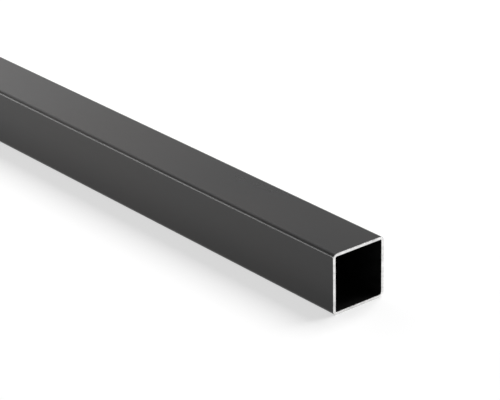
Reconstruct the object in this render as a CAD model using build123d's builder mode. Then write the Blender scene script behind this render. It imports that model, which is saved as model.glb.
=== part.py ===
"""Square metal tube: one straight length of thin-walled hollow section, as it is stocked and sold.

The section is a rounded square with a rounded square bore. Inner and outer rounds share one
centre, as they do where a strip is formed round a bend, so the wall is equal all the way round.
The bore is open from end to end. Both ends are cut square and deburred, which leaves a fine
chamfer on the outer and on the inner rim of each cut face.

Frame: the tube lies along X and rests on Z = 0. The origin is the middle of its underside.
All lengths are in millimetres.
"""

import os

from build123d import *

# Driving dimensions
tube_width = 25.0  # across two opposite outer faces, the same both ways
wall = 1.2  # thickness of the metal
inner_bend_radius = 0.6  # round inside each corner of the bore
stock_length = 1000.0  # as sold, from cut face to cut face
deburr = 0.15  # leg of the chamfer on each cut rim

# Sizes that follow from them
outer_bend_radius = inner_bend_radius + wall
bore_width = tube_width - 2 * wall


def make_tube():
    """The section, drawn at the middle of the length, run out both ways and deburred."""
    section_plane = Plane.YZ.shift_origin((0, 0, tube_width / 2))
    with BuildPart() as tube:
        with BuildSketch(section_plane):
            RectangleRounded(tube_width, tube_width, outer_bend_radius)
            RectangleRounded(bore_width, bore_width, inner_bend_radius, mode=Mode.SUBTRACT)
        extrude(amount=stock_length / 2, both=True)
        faces_along_length = tube.faces().sort_by(Axis.X)
        for cut_face in (faces_along_length[0], faces_along_length[-1]):
            chamfer(cut_face.edges(), length=deburr)
    tube.part.label = "square_tube"
    return tube.part


def main():
    os.makedirs("parts", exist_ok=True)
    tube = make_tube()
    export_step(tube, f"parts/{tube.label}.step")


main()
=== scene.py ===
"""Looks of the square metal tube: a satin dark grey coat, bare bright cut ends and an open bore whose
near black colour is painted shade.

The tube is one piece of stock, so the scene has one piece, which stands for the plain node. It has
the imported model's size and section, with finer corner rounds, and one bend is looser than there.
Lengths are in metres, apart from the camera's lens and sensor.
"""

import math

import bmesh
import bpy
from mathutils import Matrix, Vector


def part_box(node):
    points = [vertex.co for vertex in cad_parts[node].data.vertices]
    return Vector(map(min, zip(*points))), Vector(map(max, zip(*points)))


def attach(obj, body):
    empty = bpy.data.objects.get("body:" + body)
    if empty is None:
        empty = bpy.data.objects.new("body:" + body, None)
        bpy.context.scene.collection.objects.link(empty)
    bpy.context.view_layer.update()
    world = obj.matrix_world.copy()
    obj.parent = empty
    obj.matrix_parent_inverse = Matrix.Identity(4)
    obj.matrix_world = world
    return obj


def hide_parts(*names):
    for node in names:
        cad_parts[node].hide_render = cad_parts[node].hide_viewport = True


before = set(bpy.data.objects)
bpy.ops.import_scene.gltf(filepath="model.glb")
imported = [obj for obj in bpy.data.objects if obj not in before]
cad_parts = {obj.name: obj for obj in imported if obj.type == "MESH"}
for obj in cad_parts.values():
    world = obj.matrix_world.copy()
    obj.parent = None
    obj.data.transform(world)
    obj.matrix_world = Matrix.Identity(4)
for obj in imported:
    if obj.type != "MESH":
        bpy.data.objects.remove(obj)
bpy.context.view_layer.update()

# The tube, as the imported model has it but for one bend
low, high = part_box("square_tube")
tube_width = high.z - low.z
wall = 0.0012
# The outside rounds of the bends: top back, top front, bottom front, and the looser bottom back
bend_radii = (0.0018, 0.0018, 0.0018, 0.0024)
deburr = 0.00015  # leg of the chamfer on each cut rim
face_x = (high.x - low.x) / 2  # how far the cut faces are from the middle
rim_x = face_x - deburr  # where the coat ends

# The facets of its skin, and the numbers of their materials
corner_steps = 14  # facets round each corner
length_steps = 80  # facets along the length
crease_angle = math.radians(25)  # an edge that turns by more than this looks sharp
coat_number = 0
cut_number = 1
bore_number = 2

# The saw that cut the ends: its axis, beside and above the tube, and what it left there
blade_axis = Vector((0, 0.07, 0.12))
saw_mark_pitch = 0.00022
saw_mark_fade = 0.009  # how far a mark runs before it fades
least_chip = 0.00002  # how far the chips in the coat reach from a cut rim
deepest_chip = 0.0003

# Depths of the relief
draw_line_depth = 0.0000006
peel_depth = 0.000002
saw_mark_depth = 0.000004
bore_streak_depth = 0.000004
bore_scale_depth = 0.000006

# Colours, as linear red, green and blue
coat_cool = (0.0225, 0.0225, 0.0230)
coat_warm = (0.0275, 0.0250, 0.0240)
chip_metal = (0.5, 0.49, 0.48)
steel_dull = (0.64, 0.635, 0.63)
steel_bright = (0.94, 0.935, 0.93)
# The bore's near black is painted shade: the real inside is about as dark as the coat, and these colours
# stand in for the dark that falls inside the tube.
bore_shade_darkest = (0.0010, 0.0010, 0.0010)
bore_shade_lightest = (0.0045, 0.0043, 0.0042)
floor_grey = (0.5, 0.5, 0.5)
white = (1, 1, 1)

# The floor
floor_half = 6.0  # half its width
near_glow = 0.62  # how strongly it glows near the tube, where 1 is white
near_up_to = 0.3  # how far from the tube's middle that reaches
white_from = 0.6  # and from where the glow is white

# The backdrop, by the angle above the horizon
white_up_to = math.radians(6)
dimmest_from = math.radians(30)
dimmest = 0.33  # its strength there, where 1 is white
fill_light = 0.04  # how strong it is as a light

# The camera, at the photograph's viewing angle
view_azimuth = math.radians(51.05)
view_elevation = math.radians(24.25)
view_roll = math.radians(1.13)
lens = 167.7  # mm
sensor_width = 36.0  # mm
near_end_foot_in_view = Vector((0.04038, -0.039385, -0.8637))  # to the right, up, back


def section_points(inset):
    """The tube's outline, moved in from the outer faces by inset, as (y, z) points in turn."""
    points = []
    for corner, bend_radius in enumerate(bend_radii):
        radius = bend_radius - inset
        centre = tube_width / 2 - bend_radius
        diagonal = math.radians(45 + 90 * corner)
        centre_y = math.copysign(centre, math.cos(diagonal))
        centre_z = math.copysign(centre, math.sin(diagonal))
        for step in range(corner_steps + 1):
            angle = math.radians(90) * (corner + step / corner_steps)
            y = centre_y + radius * math.cos(angle)
            z = centre_z + radius * math.sin(angle)
            points.append((y, tube_width / 2 + z))
    return points


def skin_stations():
    """Where the skin's rings of points lie, as (x, inset): outside, one cut, bore, the other cut."""
    along = [rim_x * (2 * step / length_steps - 1) for step in range(length_steps + 1)]
    outside = [(x, 0.0) for x in along]
    plus_end = [(face_x, deburr), (face_x, wall - deburr)]
    inside = [(x, wall) for x in reversed(along)]
    minus_end = [(-face_x, wall - deburr), (-face_x, deburr)]
    return outside + plus_end + inside + minus_end


def material_number(inset, next_inset):
    """The material of the facets between two rings: coat outside, bore inside, or else cut metal."""
    if inset == next_inset == 0.0:
        return coat_number
    if inset == next_inset == wall:
        return bore_number
    return cut_number


def make_skin():
    """The tube's mesh: one closed skin, whose last ring joins its first."""
    skin = bmesh.new()
    stations = skin_stations()
    rings = []
    for x, inset in stations:
        rings.append([skin.verts.new((x, y, z)) for y, z in section_points(inset)])
    for index, ring in enumerate(rings):
        next_index = (index + 1) % len(rings)
        next_ring = rings[next_index]
        number = material_number(stations[index][1], stations[next_index][1])
        for point in range(len(ring)):
            beside = (point + 1) % len(ring)
            face = skin.faces.new((ring[point], ring[beside], next_ring[beside], next_ring[point]))
            face.smooth = True
            face.material_index = number
    bmesh.ops.recalc_face_normals(skin, faces=skin.faces)
    for edge in skin.edges:
        edge.smooth = edge.calc_face_angle() < crease_angle
    mesh = bpy.data.meshes.new("square_tube_skin")
    skin.to_mesh(mesh)
    skin.free()
    return mesh


def make_tube(coat, bare_metal, bore_shade_material):
    """The tube, with its three materials in the order of their numbers."""
    mesh = make_skin()
    for material in (coat, bare_metal, bore_shade_material):
        mesh.materials.append(material)
    tube = bpy.data.objects.new("square_tube_skin", mesh)
    bpy.context.scene.collection.objects.link(tube)
    weights = tube.modifiers.new("flats stay flat", "WEIGHTED_NORMAL")
    weights.keep_sharp = True
    return tube


def new_material(name):
    """A new material, its node tree and its shader."""
    material = bpy.data.materials.new(name)
    material.use_nodes = True
    tree = material.node_tree
    return material, tree, tree.nodes["Principled BSDF"]


def object_place(tree):
    """The point's place on the object, in metres."""
    return tree.nodes.new("ShaderNodeTexCoord").outputs["Object"]


def split_vector(tree, vector):
    """The vector's parts, by the names X, Y and Z."""
    node = tree.nodes.new("ShaderNodeSeparateXYZ")
    tree.links.new(vector, node.inputs[0])
    return node.outputs


def add_math(tree, operation, *values):
    """A Math node. Each value is a number or the output of another node."""
    node = tree.nodes.new("ShaderNodeMath")
    node.operation = operation
    for socket, value in zip(node.inputs, values):
        if isinstance(value, (int, float)):
            socket.default_value = value
        else:
            tree.links.new(value, socket)
    return node.outputs[0]


def add_share(tree, total, value, share):
    """The total with a share of value added to it."""
    return add_math(tree, "MULTIPLY_ADD", value, share, total)


def add_vector_math(tree, operation, vector, fixed_vector):
    """A Vector Math node, on a vector and a fixed one."""
    node = tree.nodes.new("ShaderNodeVectorMath")
    node.operation = operation
    tree.links.new(vector, node.inputs[0])
    node.inputs[1].default_value = fixed_vector
    return node.outputs["Vector"]


def add_length(tree, vector):
    """How long the vector is."""
    node = tree.nodes.new("ShaderNodeVectorMath")
    node.operation = "LENGTH"
    tree.links.new(vector, node.inputs[0])
    return node.outputs["Value"]


def add_grain(tree, place, size, detail=2.0):
    """Soft noise from 0 to 1, in spots about size metres long in X, Y and Z."""
    shrunk_place = add_vector_math(tree, "DIVIDE", place, size)
    noise = tree.nodes.new("ShaderNodeTexNoise")
    tree.links.new(shrunk_place, noise.inputs["Vector"])
    noise.inputs["Scale"].default_value = 1.0
    noise.inputs["Detail"].default_value = detail
    return noise.outputs["Fac"]


def add_ramp(tree, value, between, colours):
    """A blend from the first colour to the second as value goes from one limit to the other."""
    ramp = tree.nodes.new("ShaderNodeValToRGB")
    tree.links.new(value, ramp.inputs["Fac"])
    for element, position, colour in zip(ramp.color_ramp.elements, between, colours):
        element.position = position
        element.color = (*colour, 1)
    return ramp.outputs["Color"]


def add_range(tree, value, between, to):
    """Value, scaled from one pair of limits to another and kept between them."""
    node = tree.nodes.new("ShaderNodeMapRange")
    tree.links.new(value, node.inputs["Value"])
    node.inputs["From Min"].default_value = between[0]
    node.inputs["From Max"].default_value = between[1]
    node.inputs["To Min"].default_value = to[0]
    node.inputs["To Max"].default_value = to[1]
    return node.outputs[0]


def add_mix(tree, factor, colour, fixed_colour):
    """The colour where factor is 0, and the fixed one where it is 1."""
    node = tree.nodes.new("ShaderNodeMix")
    node.data_type = "RGBA"
    # The node has sockets for each kind of data. Its colours go in at 6 and 7, and come out at 2.
    tree.links.new(factor, node.inputs[0])
    tree.links.new(colour, node.inputs[6])
    node.inputs[7].default_value = (*fixed_colour, 1)
    return node.outputs[2]


def emboss(tree, shader, *layers):
    """Bumps stacked on the shader's normal. A layer is a height from 0 to 1 and its depth in metres."""
    below = None
    for height, depth in layers:
        bump = tree.nodes.new("ShaderNodeBump")
        tree.links.new(height, bump.inputs["Height"])
        bump.inputs["Distance"].default_value = depth
        if below:
            tree.links.new(below, bump.inputs["Normal"])
        below = bump.outputs["Normal"]
    tree.links.new(below, shader.inputs["Normal"])


def add_chips(tree, place):
    """1 on the small bare chips that the saw left in the coat along a cut rim, and 0 elsewhere."""
    from_middle = add_math(tree, "ABSOLUTE", split_vector(tree, place)["X"])
    from_rim = add_math(tree, "SUBTRACT", rim_x, from_middle)
    ragged = add_grain(tree, place, size=(0.0006, 0.0006, 0.0006), detail=3)
    reach = add_range(tree, ragged, between=(0.54, 0.78), to=(least_chip, deepest_chip))
    return add_math(tree, "LESS_THAN", from_rim, reach)


def make_coat():
    """Satin powder coat: orange peel, faint lines along the tube, a faint drift in tone, chipped rims."""
    material, tree, shader = new_material("dark_coat")
    place = object_place(tree)
    drift = add_grain(tree, place, size=(0.11, 0.06, 0.06))
    mottle = add_grain(tree, place, size=(0.005, 0.004, 0.004))
    draw_lines = add_grain(tree, place, size=(0.12, 0.0007, 0.0007), detail=3)
    peel = add_grain(tree, place, size=(0.0017, 0.0015, 0.0015), detail=1)
    chips = add_chips(tree, place)
    tone = add_ramp(tree, drift, between=(0.35, 0.65), colours=(coat_cool, coat_warm))
    tree.links.new(add_mix(tree, chips, tone, chip_metal), shader.inputs["Base Color"])
    tree.links.new(chips, shader.inputs["Metallic"])
    roughness = add_range(tree, drift, between=(0.3, 0.7), to=(0.245, 0.295))
    roughness = add_share(tree, roughness, mottle, share=0.03)
    roughness = add_share(tree, roughness, draw_lines, share=0.02)
    tree.links.new(roughness, shader.inputs["Roughness"])
    shader.inputs["IOR"].default_value = 1.4
    emboss(tree, shader, (draw_lines, draw_line_depth), (peel, peel_depth))
    return material


def add_saw_marks(tree, place):
    """Fine arcs round the saw's axis, from 0 to 1, that fade in and out along their length."""
    from_axis = add_vector_math(tree, "SUBTRACT", place, blade_axis)
    across = add_vector_math(tree, "MULTIPLY", from_axis, (0, 1, 1))
    sides = split_vector(tree, place)
    polar = tree.nodes.new("ShaderNodeCombineXYZ")
    tree.links.new(add_length(tree, across), polar.inputs["X"])
    tree.links.new(sides["Y"], polar.inputs["Y"])
    tree.links.new(sides["Z"], polar.inputs["Z"])
    size = (saw_mark_pitch, saw_mark_fade, saw_mark_fade)
    return add_grain(tree, polar.outputs[0], size, detail=3)


def make_bare_metal():
    """Bare steel, bright from the saw, with its fine marks and slightly duller patches."""
    material, tree, shader = new_material("bare_cut_metal")
    place = object_place(tree)
    marks = add_saw_marks(tree, place)
    patches = add_grain(tree, place, size=(0.004, 0.003, 0.003))
    shade = add_share(tree, patches, marks, share=0.5)
    colour = add_ramp(tree, shade, between=(0.5, 1.0), colours=(steel_dull, steel_bright))
    tree.links.new(colour, shader.inputs["Base Color"])
    shader.inputs["Metallic"].default_value = 1.0
    roughness = add_range(tree, marks, between=(0.3, 0.7), to=(0.22, 0.36))
    tree.links.new(roughness, shader.inputs["Roughness"])
    emboss(tree, shader, (marks, saw_mark_depth))
    return material


def make_painted_shade_bore():
    """The inside: near black as painted shade, far darker than the real inside, with faint streaks along
    the tube and a dull, slightly uneven skin.
    """
    material, tree, shader = new_material("bore_painted_shade")
    place = object_place(tree)
    streaks = add_grain(tree, place, size=(0.07, 0.0012, 0.0012), detail=3)
    scale = add_grain(tree, place, size=(0.004, 0.002, 0.002))
    # Painted shade: the inside's colour is kept near black
    colour = add_ramp(tree, streaks, between=(0.35, 0.7), colours=(bore_shade_darkest, bore_shade_lightest))
    tree.links.new(colour, shader.inputs["Base Color"])
    roughness = add_range(tree, scale, between=(0.3, 0.7), to=(0.5, 0.7))
    tree.links.new(roughness, shader.inputs["Roughness"])
    shader.inputs["Specular IOR Level"].default_value = 0.2
    emboss(tree, shader, (streaks, bore_streak_depth), (scale, bore_scale_depth))
    return material


def background_ray(tree):
    """1 for rays that show the background: camera, glossy and transmission rays."""
    path = tree.nodes.new("ShaderNodeLightPath")
    either = add_math(tree, "MAXIMUM", path.outputs["Is Camera Ray"], path.outputs["Is Glossy Ray"])
    return add_math(tree, "MAXIMUM", either, path.outputs["Is Transmission Ray"])


def make_floor_material():
    """Matt grey, with a white glow that is weaker near the tube, so that the tube's shadow shows."""
    material = bpy.data.materials.new("floor")
    material.use_nodes = True
    tree = material.node_tree
    tree.nodes.clear()
    paint = tree.nodes.new("ShaderNodeBsdfDiffuse")
    paint.inputs["Color"].default_value = (*floor_grey, 1)
    # X counts half, so the glow changes along ovals that are longer along the tube
    oval = add_vector_math(tree, "MULTIPLY", object_place(tree), (0.5, 1, 0))
    from_tube = add_length(tree, oval)
    strength = add_range(tree, from_tube, between=(near_up_to, white_from), to=(near_glow, 1.0))
    glow = tree.nodes.new("ShaderNodeEmission")
    glow.inputs["Color"].default_value = (*white, 1)
    tree.links.new(add_math(tree, "MULTIPLY", strength, background_ray(tree)), glow.inputs["Strength"])
    both = tree.nodes.new("ShaderNodeAddShader")
    out = tree.nodes.new("ShaderNodeOutputMaterial")
    tree.links.new(paint.outputs[0], both.inputs[0])
    tree.links.new(glow.outputs[0], both.inputs[1])
    tree.links.new(both.outputs[0], out.inputs["Surface"])
    return material


def make_floor():
    """A level square under the tube."""
    mesh = bpy.data.meshes.new("floor")
    corners = []
    for x, y in ((-1, -1), (1, -1), (1, 1), (-1, 1)):
        corners.append((x * floor_half, y * floor_half, 0))
    mesh.from_pydata(corners, [], [(0, 1, 2, 3)])
    mesh.materials.append(make_floor_material())
    floor = bpy.data.objects.new("floor", mesh)
    bpy.context.scene.collection.objects.link(floor)


def add_background(tree):
    """A Background node in white, because a new one is grey."""
    node = tree.nodes.new("ShaderNodeBackground")
    node.inputs["Color"].default_value = (*white, 1)
    return node


def make_world():
    """A white backdrop that is darker overhead, and only a weak fill light from it on the coat."""
    world = bpy.data.worlds.new("studio")
    bpy.context.scene.world = world
    world.use_nodes = True
    tree = world.node_tree
    tree.nodes.clear()
    direction = tree.nodes.new("ShaderNodeTexCoord").outputs["Generated"]
    height = split_vector(tree, direction)["Z"]
    heights = (math.sin(white_up_to), math.sin(dimmest_from))
    backdrop = add_background(tree)
    strength = add_range(tree, height, between=heights, to=(1.0, dimmest))
    tree.links.new(strength, backdrop.inputs["Strength"])
    fill = add_background(tree)
    fill.inputs["Strength"].default_value = fill_light
    mix = tree.nodes.new("ShaderNodeMixShader")
    tree.links.new(background_ray(tree), mix.inputs["Fac"])
    tree.links.new(fill.outputs[0], mix.inputs[1])
    tree.links.new(backdrop.outputs[0], mix.inputs[2])
    out = tree.nodes.new("ShaderNodeOutputWorld")
    tree.links.new(mix.outputs[0], out.inputs["Surface"])


def add_softbox(name, centre, target, width, height, brightness):
    """A rectangular lamp at centre that faces target. Brightness 1 is the white of the background."""
    lamp = bpy.data.lights.new(name, "AREA")
    lamp.shape = "RECTANGLE"
    lamp.size = width
    lamp.size_y = height
    lamp.energy = brightness * math.pi * width * height
    box = bpy.data.objects.new(name, lamp)
    box.location = centre
    away = centre - target
    box.rotation_euler = away.to_track_quat("Z", "Y").to_euler()
    box.visible_camera = False
    bpy.context.scene.collection.objects.link(box)


def make_lamps():
    """A key behind the tube, two panels that face down past its far end, and a low strip in front."""
    near_part = Vector((0.35, 0, tube_width / 2))
    down = Vector((0, 0, -1))
    key_at = Vector((0.4, 1.3, 1.9))
    left_at = Vector((-2.07, 0.38, 1.2))
    far_at = Vector((-2.82, 0, 1.22))
    strip_at = Vector((-0.24, -0.6, 0.12))
    add_softbox("back_key", key_at, near_part, width=1.4, height=1.4, brightness=7.8)
    add_softbox("left_panel", left_at, left_at + down, width=3.0, height=1.5, brightness=1.0)
    add_softbox("far_panel", far_at, far_at + down, width=1.5, height=3.75, brightness=1.4)
    add_softbox("low_strip", strip_at, near_part, width=0.55, height=0.2, brightness=7.1)


def make_camera():
    """The camera, placed so that it sees the foot of the near cut where the photograph has it."""
    turn = Matrix.Rotation(view_azimuth, 3, "Z")
    tilt = Matrix.Rotation(math.radians(90) - view_elevation, 3, "X")
    roll = Matrix.Rotation(-view_roll, 3, "Z")
    facing = turn @ tilt @ roll
    near_end_foot = Vector((high.x, 0, low.z))
    camera_place = near_end_foot - facing @ near_end_foot_in_view
    data = bpy.data.cameras.new("camera")
    data.sensor_width = sensor_width
    data.lens = lens
    camera = bpy.data.objects.new("camera", data)
    camera.matrix_world = Matrix.Translation(camera_place) @ facing.to_4x4()
    bpy.context.scene.collection.objects.link(camera)
    bpy.context.scene.camera = camera


bpy.context.scene.view_settings.view_transform = "Standard"
tube = make_tube(make_coat(), make_bare_metal(), make_painted_shade_bore())
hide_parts("square_tube")
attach(tube, "root")
make_floor()
make_world()
make_lamps()
make_camera()
